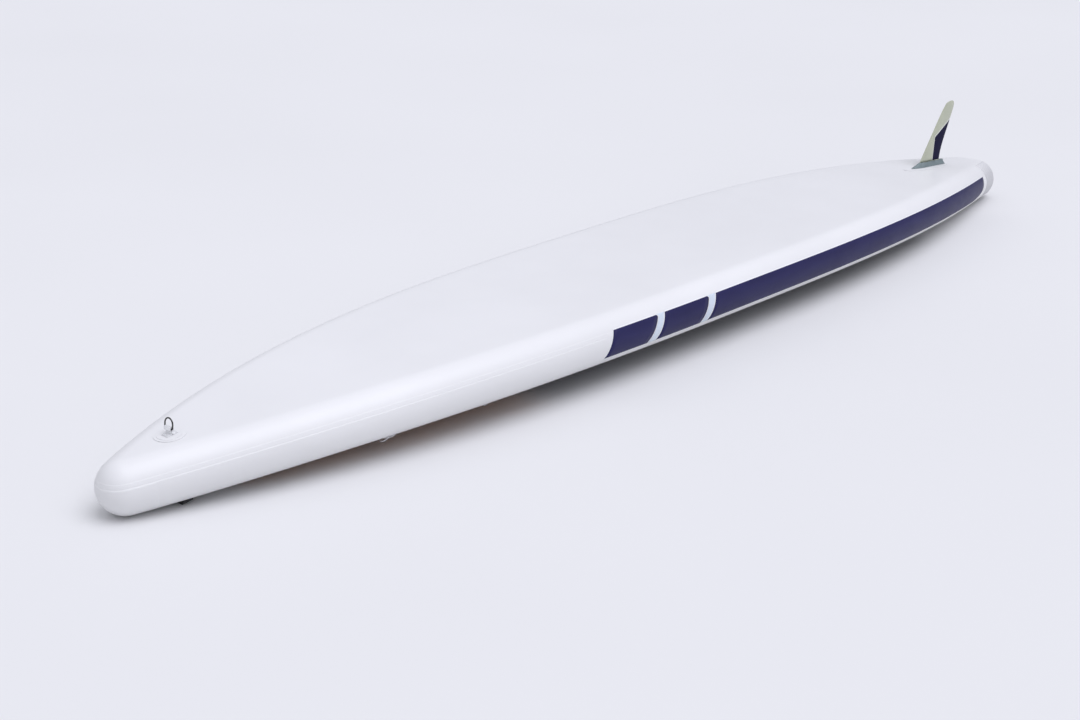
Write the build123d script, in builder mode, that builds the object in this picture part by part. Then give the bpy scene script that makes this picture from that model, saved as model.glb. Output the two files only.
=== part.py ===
"""Inflatable touring stand up paddleboard, lying deck down with its hull and fin up.

Frame: +X towards the nose, +Z up, millimetres, origin under the middle of the board
on the floor that the nose and the tail touch.
"""
import math
import os

from build123d import *

os.makedirs("parts", exist_ok=True)

# Board
length = 4267.0
width = 740.0
rail = 75.0
tail_flat = 32.0
wide_x = -68.0
crest_x = 276.0
crest = 84.0
drop = 8.1

nose_centre = length / 2 - rail
tail_centre = -length / 2 + rail

# Layers of the shell, as radii around the middle of the rail
skin_out = rail
skin_in = rail - 2.1
fabric_out = rail - 2.4
fabric_in = rail - 4.5
cloth_thick = 2.1
hull_lap = 20.0
deck_lap = 58.0
wall_angle = 84.0
gap = 0.3
skin_rear = -2084.0
skin_front = 2096.0
yarn = 3.0
yarn_pitch_x = 200.0
yarn_pitch_y = 110.0

# Patches, webbing and rings
patch_thick = 1.2
web_thick = 1.6
ring_play = 0.1

# Hull fittings
tow_x = 1907.0
tow_wire = 4.0
tow_roll = 6.6
tow_axis = 18.5
tow_lean = -12.0
box_x = -1727.0
box_height = 19.0
slot_wide = 8.6
foot_wide = 15.4
blade_thick = 6.0
tang_thick = 4.0

# Deck fittings
valve_x = -1690.0
pad_front = 780.0
pad_rear = -1430.0
pad_thick = 5.0
kick_x = -1513.0
leash_x = -1800.0
leash_wire = 4.5
leash_roll = 4.0
leash_lean = -60.0
cargo_wire = 4.0
cargo_roll = 3.8
cargo_lean = 74.0
nose_handle_x = 1929.0
tail_handle_x = -1900.0
cargo_spots = {
    "front_left": (1364.0, 200.0),
    "front_right": (1364.0, -200.0),
    "rear_left": (1010.0, 240.0),
    "rear_right": (1010.0, -240.0),
}


def half_inner(x):
    """Half width of the flat between the two rail curves."""
    half = width / 2 - rail
    if x > wide_x:
        u = min((x - wide_x) / (nose_centre - wide_x), 1)
        return half * (1 - u**2.81) ** 0.96
    u = min((wide_x - x) / (wide_x - tail_centre), 1)
    return tail_flat + (half - tail_flat) * (1 - u**2.93) ** 1.1


def rise(x):
    """Lift of the middle of the board's thickness above its lowest place."""
    if x > crest_x:
        u = min((x - crest_x) / (length / 2 - crest_x), 1)
        return crest * (1 - u**3)
    u = min((crest_x - x) / (crest_x + length / 2), 1)
    return crest * (1 - u**3.64)


def middle(x):
    return rail + rise(x) - drop


def slope(x):
    return (rise(x + 1) - rise(x - 1)) / 2


def outer_half(x, radius):
    """Half width of the outline of a rail of this radius carried along the rail curve."""
    best = 0.0
    for i in range(-90, 91):
        along = min(max(x + radius * math.sin(math.radians(i)), tail_centre), nose_centre)
        reach = radius**2 - (x - along) ** 2
        if reach >= 0:
            best = max(best, half_inner(along) + math.sqrt(reach))
    return best


def size_at(x, radius):
    """Half width, flat half width and half height of the board's section at x."""
    past = max(x - nose_centre, tail_centre - x, 0)
    high = math.sqrt(radius**2 - past**2) / math.cos(math.atan(slope(x)))
    half = outer_half(x, radius)
    flat = min(max(half_inner(min(max(x, tail_centre), nose_centre)), 2.0), half - 0.9 * high)
    return half, flat, high


def slot_section(x, radius):
    """Whole section of the board across X, its rails round and its faces flat."""
    half, flat, high = size_at(x, radius)
    z = middle(x)
    with BuildSketch(Plane.YZ.offset(x)) as slot:
        with BuildLine():
            Line((-flat, z + high), (flat, z + high))
            EllipticalCenterArc((flat, z), half - flat, high, start_angle=-90, arc_size=180)
            Line((flat, z - high), (-flat, z - high))
            EllipticalCenterArc((-flat, z), half - flat, high, start_angle=90, arc_size=180)
        make_face()
    return slot.sketch.faces()[0]


def wrap_section(x, side):
    """Section of a skin laid over the hull (side 1) or deck (side -1) and round to its lap."""
    half, flat, high = size_at(x, skin_out)
    half_in, _, high_in = size_at(x, skin_in)
    z = middle(x)
    lap = hull_lap if side > 0 else deck_lap
    turn = 90 - lap
    with BuildSketch(Plane.YZ.offset(x)) as wrap:
        with BuildLine():
            right = EllipticalCenterArc(
                (flat, z), half - flat, high, start_angle=side * lap, arc_size=side * turn
            )
            left = EllipticalCenterArc(
                (-flat, z), half - flat, high, start_angle=side * 90, arc_size=side * turn
            )
            right_in = EllipticalCenterArc(
                (flat, z), half_in - flat, high_in, start_angle=side * lap, arc_size=side * turn
            )
            left_in = EllipticalCenterArc(
                (-flat, z), half_in - flat, high_in, start_angle=side * 90, arc_size=side * turn
            )
            Line(right @ 1, left @ 0)
            Line(left @ 1, left_in @ 1)
            Line(left_in @ 0, right_in @ 1)
            Line(right_in @ 0, right @ 0)
        make_face()
    return wrap.sketch.faces()[0]


def strip_section(x, side, out, inside, low, upper):
    """Section of a band round the left (side 1) or right rail, between two angles on it."""
    half, flat, high = size_at(x, out)
    half_in, _, high_in = size_at(x, inside)
    z = middle(x)
    start = low if side > 0 else 180 - upper
    turn = upper - low
    with BuildSketch(Plane.YZ.offset(x)) as strip:
        with BuildLine():
            face = EllipticalCenterArc(
                (side * flat, z), half - flat, high, start_angle=start, arc_size=turn
            )
            back = EllipticalCenterArc(
                (side * flat, z), half_in - flat, high_in, start_angle=start, arc_size=turn
            )
            Line(face @ 0, back @ 0)
            Line(face @ 1, back @ 1)
        make_face()
    return strip.sketch.faces()[0]


def sheet_section(x, side):
    """Section of a drop-stitch cloth, flat under the hull (side 1) or the deck (side -1)."""
    half, flat, high = size_at(x, fabric_out)
    with BuildSketch(Plane.YZ.offset(x)) as sheet:
        with Locations((0, middle(x) + side * (high - cloth_thick / 2))):
            Rectangle(2 * max(flat - 3, 3), cloth_thick)
    return sheet.sketch.faces()[0]


def stations(low, high, count):
    """Places along the board, closer together at both ends."""
    return [low + (high - low) * (1 - math.cos(math.pi * i / count)) / 2 for i in range(count + 1)]


def dome(start, radius):
    """End of the board past the plane at start, as a solid with this rail radius."""
    centre = nose_centre if start > 0 else tail_centre
    way = 1 if start > 0 else -1
    first = math.degrees(math.asin(abs(start - centre) / radius))
    turns = [first + (88 - first) * i / 5 for i in range(6)]
    with BuildPart() as body:
        loft([slot_section(centre + way * radius * math.sin(math.radians(a)), radius) for a in turns])
    return body.part


def layer(low, high, start, end):
    """Block along the rocker, between two offsets from the middle of the thickness."""
    xs = [start + (end - start) * i / 12 for i in range(13)]
    with BuildPart() as block:
        with BuildSketch(Plane.XZ):
            with BuildLine():
                upper = Spline(*[off_middle(x, high) for x in xs])
                lower = Spline(*[off_middle(x, low) for x in xs])
                Line(upper @ 0, lower @ 0)
                Line(upper @ 1, lower @ 1)
            make_face()
        extrude(amount=450, both=True)
    return block.part


def off_middle(x, away):
    """X and Z this far from the middle of the thickness, square to the rocker."""
    tilt = math.atan(slope(x))
    return x - away * math.sin(tilt), middle(x) + away * math.cos(tilt)


def on_face(x, y, side):
    """Plane on the hull (side 1) or deck (side -1), X towards the nose, Z out of the board."""
    tilt = math.atan(slope(x))
    px, pz = off_middle(x, side * rail)
    ahead = (math.cos(tilt), 0, math.sin(tilt))
    out = (-side * math.sin(tilt), 0, side * math.cos(tilt))
    return Plane(origin=(px, y, pz), x_dir=ahead, z_dir=out)


def shifted(plane, x, y, z):
    """The plane moved along its own axes."""
    return Plane(origin=plane.from_local_coords((x, y, z)), x_dir=plane.x_dir, z_dir=plane.z_dir)


def upright(plane):
    """Plane through the origin of another, its X the same and its Y the other's Z."""
    return Plane(origin=plane.origin, x_dir=plane.x_dir, z_dir=plane.y_dir * -1)


def disc(plane, low, high, radius):
    with BuildPart() as puck:
        with BuildSketch(shifted(plane, 0, 0, low)):
            Circle(radius)
        extrude(amount=high - low)
    return puck.part


def round_patch(plane, radius, step):
    """Round welded patch in two steps, the upper one smaller."""
    with BuildPart() as patch:
        add(disc(plane, gap, gap + patch_thick, radius))
        add(disc(plane, gap + patch_thick, gap + 2 * patch_thick, radius - step))
    return patch.part


def square_patch(plane, long, wide):
    with BuildPart() as patch:
        with BuildSketch(shifted(plane, 0, 0, gap)):
            RectangleRounded(long, wide, 8)
        extrude(amount=patch_thick)
    return patch.part


def tab_axis(wire, roll):
    """Height of a ring's straight bar when its roll of webbing lies on the patch."""
    return 2 * gap + 2 * patch_thick + max(roll, wire / 2 + ring_play + web_thick)


def ring_tab(plane, wire, wide, reach, axis, roll):
    """Webbing rolled round the straight bar of a ring, on a neck, both ends stuck down."""
    low = 2 * gap + 2 * patch_thick
    with BuildPart() as tab:
        with BuildSketch(upright(plane)):
            with Locations((0, low + web_thick / 2)):
                Rectangle(2 * reach, web_thick)
            with Locations((0, (low + axis) / 2)):
                Rectangle(2 * web_thick, axis - low)
            with Locations((0, axis)):
                Circle(roll)
                Circle(wire / 2 + ring_play, mode=Mode.SUBTRACT)
        extrude(amount=wide / 2, both=True)
    return tab.part


def d_ring(plane, wire, inside, reach, lean, axis):
    """Round wire bent to a D, leaning this many degrees from upright to the nose."""
    turn = math.radians(lean)
    up = plane.x_dir * math.sin(turn) + plane.z_dir * math.cos(turn)
    flat = Plane(
        origin=plane.from_local_coords((0, 0, axis)),
        x_dir=plane.y_dir,
        z_dir=plane.y_dir.cross(up),
    )
    half = (inside + wire) / 2
    corner = wire * 0.65
    shoulder = reach - wire / 2 - half
    with BuildPart() as ring:
        with BuildLine(flat):
            bar = Line((-half + corner, 0), (half - corner, 0))
            right = RadiusArc(bar @ 1, (half, corner), -corner)
            rise_right = Line(right @ 1, (half, shoulder))
            arch = ThreePointArc((half, shoulder), (0, shoulder + half), (-half, shoulder))
            rise_left = Line(arch @ 1, (-half, corner))
            RadiusArc(rise_left @ 1, bar @ 0, -corner)
        with BuildSketch(Plane(origin=bar @ 0.5, z_dir=bar % 0.5)):
            Circle(wire / 2)
        sweep()
    return ring.part


def strap(plane, points, bend, thick, wide):
    """Webbing along a line of points in the plane's X and Z, with round bends."""
    with BuildPart() as band:
        with BuildSketch(upright(plane)):
            with BuildLine():
                FilletPolyline(*points, radius=bend)
                offset(amount=thick, side=Side.LEFT)
            make_face()
        extrude(amount=wide / 2, both=True)
    return band.part


def together(parts):
    with BuildPart() as group:
        for part in parts:
            add(part)
    return group.part


def save(name, part):
    part.label = name
    export_step(part, f"parts/{name}.step")


# Shell: outer skins and rail bands
valve_seat = on_face(valve_x, 0, -1)
with BuildPart() as valve_hole:
    with BuildSketch(shifted(valve_seat, 0, 0, -40)):
        Circle(21.0)
    extrude(amount=60)

run = stations(skin_rear, skin_front, 18)

with BuildPart() as hull_skin:
    loft([wrap_section(x, 1) for x in run])
save("hull_skin", hull_skin.part)

with BuildPart() as deck_skin:
    loft([wrap_section(x, -1) for x in run])
    add(valve_hole.part, mode=Mode.SUBTRACT)
save("deck_skin", deck_skin.part)

band_low = 0.3 - deck_lap
band_high = hull_lap - 0.3
with BuildPart() as rail_band_left:
    loft([strip_section(x, 1, skin_out, skin_in, band_low, band_high) for x in run])
save("rail_band_left", rail_band_left.part)

with BuildPart() as rail_band_right:
    loft([strip_section(x, -1, skin_out, skin_in, band_low, band_high) for x in run])
save("rail_band_right", rail_band_right.part)

with BuildPart() as nose_cap:
    add(dome(skin_front + gap, skin_out))
    add(dome(skin_front + gap, skin_in), mode=Mode.SUBTRACT)
save("nose_cap", nose_cap.part)

with BuildPart() as tail_cap:
    add(dome(skin_rear - gap, skin_out))
    add(dome(skin_rear - gap, skin_in), mode=Mode.SUBTRACT)
save("tail_cap", tail_cap.part)

# Drop-stitch chamber
with BuildPart() as hull_cloth:
    loft([sheet_section(x, 1) for x in run])
save("drop_stitch_cloth_hull", hull_cloth.part)

with BuildPart() as deck_cloth:
    loft([sheet_section(x, -1) for x in run])
    add(valve_hole.part, mode=Mode.SUBTRACT)
save("drop_stitch_cloth_deck", deck_cloth.part)

with BuildPart() as wall_left:
    loft([strip_section(x, 1, fabric_out, fabric_in, -wall_angle, wall_angle) for x in run])
save("inner_side_wall_left", wall_left.part)

with BuildPart() as wall_right:
    loft([strip_section(x, -1, fabric_out, fabric_in, -wall_angle, wall_angle) for x in run])
save("inner_side_wall_right", wall_right.part)

yarn_spots = []
for i in range(-10, 11):
    x = i * yarn_pitch_x
    flat = half_inner(min(max(x, tail_centre), nose_centre)) - 15
    for j in range(-2, 3):
        y = j * yarn_pitch_y
        if abs(y) < flat and math.hypot(x - valve_x, y) > 45:
            yarn_spots.append((x, y))

with BuildPart() as yarns:
    for x, y in yarn_spots:
        with Locations((x, y, middle(x))):
            Cylinder(yarn / 2, 2 * (fabric_in - 0.8))
save("drop_stitch_yarns", yarns.part)

# Tow ring on the hull near the nose
tow_seat = on_face(tow_x, 0, 1)
save("tow_ring_patch", round_patch(tow_seat, 42, 8))
save("tow_ring_tab", ring_tab(tow_seat, tow_wire, 25, 18, tow_axis, tow_roll))
save("tow_ring", d_ring(tow_seat, tow_wire, 27, 29, tow_lean, tow_axis))

# Fin box on the hull near the tail
box_seat = on_face(box_x, 0, 1)
base_low = gap + patch_thick + 2 * gap
with BuildPart() as box_patch:
    with BuildSketch():
        with Locations((box_x, 0)):
            Ellipse(150, 42)
    extrude(amount=400)
    add(layer(rail + gap, rail + gap + patch_thick, -2000, -1480), mode=Mode.INTERSECT)
save("fin_box_patch", box_patch.part)

box_foot = [(116, 0), (95, 9), (54, 16), (-109, 16), (-116, 11)]
box_crown = [(60, 0), (52, 5), (36, 9.5), (-95, 9.5), (-99, 8)]
with BuildPart() as fin_box:
    with BuildSketch(shifted(box_seat, 0, 0, base_low)):
        Polygon(*box_foot, *[(x, -y) for x, y in reversed(box_foot[1:])], align=None)
    with BuildSketch(shifted(box_seat, 0, 0, box_height)):
        Polygon(*box_crown, *[(x, -y) for x, y in reversed(box_crown[1:])], align=None)
    loft(ruled=True)
    with BuildSketch(shifted(box_seat, -45, 0, 3.6)):
        Rectangle(170, foot_wide + 2 * gap)
    extrude(amount=5.4, mode=Mode.SUBTRACT)
    with BuildSketch(shifted(box_seat, -45, 0, 8)):
        Rectangle(170, slot_wide)
    extrude(amount=20, mode=Mode.SUBTRACT)
save("fin_box", fin_box.part)

# Fin: blade, moulded foot, rivets, lock lever and its pin
fin_side = upright(box_seat)
blade_low = box_height + gap
with BuildPart() as fin_foot:
    with BuildSketch(shifted(box_seat, -38, 0, 3.9)):
        Rectangle(150, foot_wide)
    extrude(amount=4.8)
    with BuildSketch(shifted(box_seat, -38, 0, 8.6)):
        Rectangle(150, slot_wide - 2 * gap)
    extrude(amount=9.9)
    with BuildSketch(shifted(box_seat, -25, 0, 7)):
        Rectangle(121, tang_thick + 2 * gap)
    extrude(amount=20, mode=Mode.SUBTRACT)
    with BuildSketch(shifted(box_seat, -100, 0, 10)):
        Rectangle(30, 4)
    extrude(amount=20, mode=Mode.SUBTRACT)
    with BuildSketch(fin_side):
        with Locations((-20, 13), (20, 13), (-65, 13)):
            Circle(1.6)
        with Locations((-97, 14.4)):
            Circle(1.3)
    extrude(amount=10, both=True, mode=Mode.SUBTRACT)
save("fin_foot", fin_foot.part)

with BuildPart() as fin_blade:
    with BuildSketch(fin_side):
        with BuildLine():
            Line((-85, 7.3), (35, 7.3))
            Line((35, 7.3), (35, blade_low))
            Line((35, blade_low), (59, blade_low))
            front = Spline((59, blade_low), (-8, 118), (-66, 203), (-98, 236))
            Spline(front @ 1, (-128, 247), (-150, 240), (-153, 222))
            Spline((-153, 222), (-126, 150), (-100, 85), (-85, blade_low))
            Line((-85, blade_low), (-85, 7.3))
        make_face()
    extrude(amount=blade_thick / 2, both=True)
    with BuildSketch(shifted(box_seat, -25, 0, 5)):
        Rectangle(140, 20)
        Rectangle(150, tang_thick, mode=Mode.SUBTRACT)
    extrude(amount=blade_low - 5, mode=Mode.SUBTRACT)
    with BuildSketch(fin_side):
        with Locations((-20, 13), (20, 13), (-65, 13)):
            Circle(1.6)
    extrude(amount=10, both=True, mode=Mode.SUBTRACT)
save("fin_blade", fin_blade.part)

with BuildPart() as rivets:
    with BuildSketch(fin_side):
        with Locations((-20, 13), (20, 13), (-65, 13)):
            Circle(1.5)
    extrude(amount=slot_wide / 2 - gap - 0.1, both=True)
save("fin_rivets", rivets.part)

with BuildPart() as lever:
    with BuildSketch(fin_side):
        with Locations((-104, 14.4)):
            SlotOverall(20, 6)
        with Locations((-97, 14.4)):
            Circle(1.3, mode=Mode.SUBTRACT)
    extrude(amount=1.7, both=True)
save("fin_lock_lever", lever.part)

with BuildPart() as lever_pin:
    with BuildSketch(fin_side):
        with Locations((-97, 14.4)):
            Circle(1.25)
    extrude(amount=slot_wide / 2 - gap - 0.1, both=True)
save("fin_lock_pin", lever_pin.part)

# Inflation valve through the deck near the tail
with BuildPart() as valve_body:
    add(disc(valve_seat, 2 * gap, gap + 3, 32))
    add(disc(valve_seat, -37, gap + 3, 20))
    add(disc(valve_seat, -10, 5, 15), mode=Mode.SUBTRACT)
    add(disc(valve_seat, -13, -9, 10), mode=Mode.SUBTRACT)
    add(disc(valve_seat, -34, -13, 15), mode=Mode.SUBTRACT)
    add(disc(valve_seat, -40, -33, 3.05), mode=Mode.SUBTRACT)
    with BuildSketch(shifted(valve_seat, 0, 0, -40)):
        with PolarLocations(9.5, 3):
            Circle(3.5)
    extrude(amount=8, mode=Mode.SUBTRACT)
save("valve_body", valve_body.part)

with BuildPart() as valve_nut:
    with BuildSketch(shifted(valve_seat, 0, 0, -12)):
        RegularPolygon(29, 8)
        Circle(20.3, mode=Mode.SUBTRACT)
    extrude(amount=6)
save("valve_nut", valve_nut.part)

with BuildPart() as plunger:
    add(disc(valve_seat, -6, -3, 6))
    add(disc(valve_seat, -40, -5, 3))
    add(disc(valve_seat, -18, -16, 13.5))
save("valve_plunger", plunger.part)

with BuildPart() as valve_seal:
    add(disc(valve_seat, -15.7, -13.3, 13.5))
    add(disc(valve_seat, -16, -13, 3.3), mode=Mode.SUBTRACT)
save("valve_seal", valve_seal.part)

spring_foot = shifted(valve_seat, 0, 0, -32.8)
with BuildPart() as spring:
    with BuildLine():
        coil = Helix(3.2, 13.2, 6.5, center=spring_foot.origin, direction=spring_foot.z_dir)
    with BuildSketch(Plane(origin=coil @ 0, z_dir=coil % 0)):
        Circle(0.6)
    sweep()
save("valve_spring", spring.part)

with BuildPart() as valve_cap:
    add(disc(valve_seat, 5, 9, 24))
    add(disc(valve_seat, -1.5, 5.5, 14.6))
    add(disc(valve_seat, -2, 5, 12), mode=Mode.SUBTRACT)
    with BuildSketch(shifted(valve_seat, 0, 0, 9)):
        SlotOverall(40, 6)
    extrude(amount=3.5)
save("valve_cap", valve_cap.part)

with BuildPart() as cap_seal:
    add(disc(valve_seat, 3.6, 4.7, 18.5))
    add(disc(valve_seat, 3, 5, 16), mode=Mode.SUBTRACT)
save("valve_cap_seal", cap_seal.part)

# Standing pad and kick pad
pad_xs = [pad_rear + (pad_front - pad_rear) * i / 10 for i in range(11)]
with BuildPart() as deck_pad:
    with BuildSketch():
        with BuildLine():
            edge = Spline(*[(x, half_inner(x) - 6) for x in pad_xs])
            other = mirror(edge, about=Plane.XZ)
            Line(edge @ 0, other.edges()[0] @ 0)
            Line(edge @ 1, other.edges()[0] @ 1)
        make_face()
        RectangleRounded(390, 100, 40, mode=Mode.SUBTRACT)
    extrude(amount=400, both=True)
    low = -rail - gap - pad_thick
    add(layer(low, -rail - gap, -1700, 1000), mode=Mode.INTERSECT)
save("standing_pad", deck_pad.part)

kick_seat = on_face(kick_x, 0, -1)
with BuildPart() as kick_pad:
    with BuildSketch(upright(kick_seat)):
        with BuildLine():
            Polyline((-76, 0.6), (76, 0.6), (76, 5.6), (-36, 22), (-66, 22), (-76, 12), close=True)
        make_face()
    extrude(amount=138, both=True)
save("kick_pad", kick_pad.part)

# Carry handle in the middle of the deck
grip_seat = on_face(0, 0, -1)
patch_top = 2 * gap + patch_thick
save(
    "carry_handle_patches",
    together([square_patch(shifted(grip_seat, x, 0, 0), 62, 70) for x in (-150, 150)]),
)
carry_line = [(-175, patch_top), (-122, patch_top), (-84, 17), (84, 17), (122, patch_top)]
save(
    "carry_handle_strap",
    strap(grip_seat, [*carry_line, (175, patch_top)], 18, 2, 38),
)
with BuildPart() as grip:
    with BuildSketch(Plane(origin=grip_seat.from_local_coords((-62, 0, 18)), x_dir=grip_seat.y_dir,
                           z_dir=grip_seat.x_dir)):
        RectangleRounded(46, 12, 5)
        Rectangle(38.8, 2.8, mode=Mode.SUBTRACT)
    extrude(amount=124)
save("carry_handle_grip", grip.part)

# Small handles across the deck at the nose and the tail
for name, x in (("nose_handle", nose_handle_x), ("tail_handle", tail_handle_x)):
    seat = on_face(x, 0, -1)
    across = Plane(origin=seat.origin, x_dir=seat.y_dir, z_dir=seat.z_dir)
    ends = [square_patch(shifted(across, y, 0, 0), 26, 40) for y in (-53, 53)]
    save(f"{name}_patches", together(ends))
    foot = patch_top + web_thick
    line = [(-44, foot), (-63, foot), (-63, 12.5), (63, 12.5), (63, foot), (44, foot)]
    save(f"{name}_strap", strap(across, line, 4, web_thick, 34))

# Cargo rings on the front deck and leash ring on the tail
cargo_seats = {name: on_face(x, y, -1) for name, (x, y) in cargo_spots.items()}
save("cargo_ring_patches", together([round_patch(p, 27, 6) for p in cargo_seats.values()]))
cargo_axis = tab_axis(cargo_wire, cargo_roll)
cargo_tabs = [ring_tab(p, cargo_wire, 18, 14, cargo_axis, cargo_roll) for p in cargo_seats.values()]
save("cargo_ring_tabs", together(cargo_tabs))
for name, seat in cargo_seats.items():
    save(f"cargo_ring_{name}", d_ring(seat, cargo_wire, 20, 27, cargo_lean, cargo_axis))

leash_seat = on_face(leash_x, 0, -1)
save("leash_ring_patch", round_patch(leash_seat, 30, 7))
leash_axis = tab_axis(leash_wire, leash_roll)
save("leash_ring_tab", ring_tab(leash_seat, leash_wire, 25, 17, leash_axis, leash_roll))
save("leash_ring", d_ring(leash_seat, leash_wire, 27, 34, leash_lean, leash_axis))
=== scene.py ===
"""Inflatable touring stand up paddleboard, lying deck down on a pale studio floor."""
import math

import bmesh
import bpy
from mathutils import Matrix, Vector

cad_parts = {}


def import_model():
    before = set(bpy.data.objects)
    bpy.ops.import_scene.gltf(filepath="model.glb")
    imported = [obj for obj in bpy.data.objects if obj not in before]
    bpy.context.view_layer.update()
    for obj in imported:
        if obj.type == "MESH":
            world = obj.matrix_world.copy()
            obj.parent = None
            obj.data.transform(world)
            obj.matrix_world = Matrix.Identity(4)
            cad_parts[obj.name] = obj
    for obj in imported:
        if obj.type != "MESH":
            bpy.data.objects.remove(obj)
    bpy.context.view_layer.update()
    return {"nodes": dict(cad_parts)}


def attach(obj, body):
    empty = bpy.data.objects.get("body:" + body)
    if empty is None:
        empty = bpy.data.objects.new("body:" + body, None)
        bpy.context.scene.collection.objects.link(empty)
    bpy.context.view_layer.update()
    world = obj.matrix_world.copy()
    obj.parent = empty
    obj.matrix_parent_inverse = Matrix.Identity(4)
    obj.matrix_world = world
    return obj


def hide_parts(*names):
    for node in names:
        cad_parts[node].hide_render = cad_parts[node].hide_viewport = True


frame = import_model()
NODES = frame["nodes"]
BOARD = "board"

# Board shape, in metres, as in the CAD model
LENGTH, WIDTH, RAIL, TAIL_FLAT = 4.267, 0.740, 0.075, 0.032
WIDE_X, CREST_X, CREST, DROP = -0.068, 0.276, 0.084, 0.0081
NOSE_C, TAIL_C = LENGTH / 2 - RAIL, -LENGTH / 2 + RAIL

# Rail print and tape, in degrees round the rail and metres along the board
SEAM, DECK_SEAM, PRINT_TOP, PRINT_LOW = 20.0, 58.0, 31.2, -31.0
OUTLINE = 0.0038
PANELS = (
    # name, front at top, front at bottom, rear at top, rear at bottom
    ("short_front", 0.588, 0.626, 0.391, 0.439),
    ("short_rear", 0.360, 0.398, 0.1475, 0.1875),
)
LONG_FRONT = (0.1125, 0.151)
LONG_REAR = -1.891

# Where the fittings sit, in metres along and across the board
TAIL_PATCH_X, NOSE_OVERLAP_X = -1.93, 1.99
TOW_X, LEASH_X, KICK_X, BOX_X = 1.907, -1.800, -1.513, -1.727
CARGO_PLACES = ((1.364, 0.200), (1.364, -0.200), (1.010, 0.240), (1.010, -0.240))
SMALL_HANDLES = (("nose_handle_strap", 1.929), ("tail_handle_strap", -1.900))


def half_inner(x):
    half = WIDTH / 2 - RAIL
    if x > WIDE_X:
        u = min((x - WIDE_X) / (NOSE_C - WIDE_X), 1)
        return half * (1 - u**2.81) ** 0.96
    u = min((WIDE_X - x) / (WIDE_X - TAIL_C), 1)
    return TAIL_FLAT + (half - TAIL_FLAT) * (1 - u**2.93) ** 1.1


def rise(x):
    if x > CREST_X:
        u = min((x - CREST_X) / (LENGTH / 2 - CREST_X), 1)
        return CREST * (1 - u**3)
    u = min((CREST_X - x) / (CREST_X + LENGTH / 2), 1)
    return CREST * (1 - u**3.64)


def middle(x):
    return RAIL + rise(x) - DROP


def slope(x):
    return (rise(x + 0.001) - rise(x - 0.001)) / 0.002


def lerp(a, b, t):
    return a + (b - a) * t


def seat(x, y, side):
    """Origin and axes of the plane on the hull (side 1) or deck (side -1) at x, y."""
    tilt = math.atan(slope(x))
    ahead = Vector((math.cos(tilt), 0, math.sin(tilt)))
    out = Vector((-side * math.sin(tilt), 0, side * math.cos(tilt)))
    origin = Vector((x, y, middle(x))) + out * RAIL
    return origin, ahead, out.cross(ahead), out


# ---------------------------------------------------------------- rail curve
def side_station(x, side):
    """Centre of the rail at x and the direction out of the board there."""
    step = 0.002
    low, high = max(x - step, TAIL_C), min(x + step, NOSE_C)
    run = (half_inner(high) - half_inner(low)) / (high - low)
    size = math.hypot(run, 1)
    return x, side * half_inner(x), -run / size, side / size


def fan(x, y, start, end, count):
    return [
        (x, y, math.cos(lerp(start, end, i / count)), math.sin(lerp(start, end, i / count)))
        for i in range(count + 1)
    ]


def side_places(count):
    return [TAIL_C + (NOSE_C - TAIL_C) * (1 - math.cos(math.pi * i / count)) / 2
            for i in range(count + 1)]


STEPS = 110
ACROSS = 18
XS = side_places(STEPS)


def half_path(side):
    """Stations from the middle of the tail round one side to the tip of the nose."""
    path = [(TAIL_C, side * TAIL_FLAT * i / (ACROSS // 2), -1.0, 0.0)
            for i in range(ACROSS // 2)]
    first, last = side_station(XS[0], side), side_station(XS[-1], side)
    turn = math.atan2(first[3] * side, first[2])
    corner = fan(TAIL_C, side * TAIL_FLAT, math.pi, turn, 10)
    path += [(x, y, nx, side * ny) for x, y, nx, ny in corner]
    path += [side_station(x, side) for x in XS[1:-1]]
    turn = math.atan2(last[3] * side, last[2])
    path += [(x, y, nx, side * ny) for x, y, nx, ny in fan(NOSE_C, 0.0, turn, 0.0, 12)]
    return path


def rail_point(station, angle, radius):
    x, y, nx, ny = station
    run = slope(x)
    out = Vector((nx, ny, nx * run)).normalized()
    up = Vector((-run, 0, 1)).normalized()
    a = math.radians(angle)
    return Vector((x, y, middle(x))) + (out * math.cos(a) + up * math.sin(a)) * radius


# ---------------------------------------------------------------- mesh helpers
def mesh_object(name, verts, faces, material, uvs=None, smooth_faces=True):
    mesh = bpy.data.meshes.new(name)
    mesh.from_pydata([tuple(v) for v in verts], [], faces)
    if uvs:
        layer = mesh.uv_layers.new(name="UVMap")
        for loop in mesh.loops:
            layer.data[loop.index].uv = uvs[loop.vertex_index]
    mesh.polygons.foreach_set("use_smooth", [smooth_faces] * len(mesh.polygons))
    mesh.materials.append(material)
    mesh.update()
    obj = bpy.data.objects.new(name, mesh)
    bpy.context.collection.objects.link(obj)
    return obj


def grid_faces(rows, cols, start=0, flip=False):
    faces = []
    for i in range(rows - 1):
        for j in range(cols - 1):
            a = start + i * cols + j
            quad = (a, a + 1, a + cols + 1, a + cols)
            faces.append(quad[::-1] if flip else quad)
    return faces


def slab(name, top, bottom, material, uvs=None):
    """Closed thin piece between two grids of points with the same layout."""
    rows, cols = len(top), len(top[0])
    verts = [p for row in top for p in row] + [p for row in bottom for p in row]
    size = rows * cols
    faces = grid_faces(rows, cols) + grid_faces(rows, cols, size, True)
    rim = [(0, j) for j in range(cols)] + [(i, cols - 1) for i in range(1, rows)]
    rim += [(rows - 1, j) for j in range(cols - 2, -1, -1)] + [(i, 0) for i in range(rows - 2, 0, -1)]
    for k, (i, j) in enumerate(rim):
        i2, j2 = rim[(k + 1) % len(rim)]
        a, b = i * cols + j, i2 * cols + j2
        faces.append((a, a + size, b + size, b))
    flat = [c for row in uvs for c in row] * 2 if uvs else None
    return mesh_object(name, verts, faces, material, flat)


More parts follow.
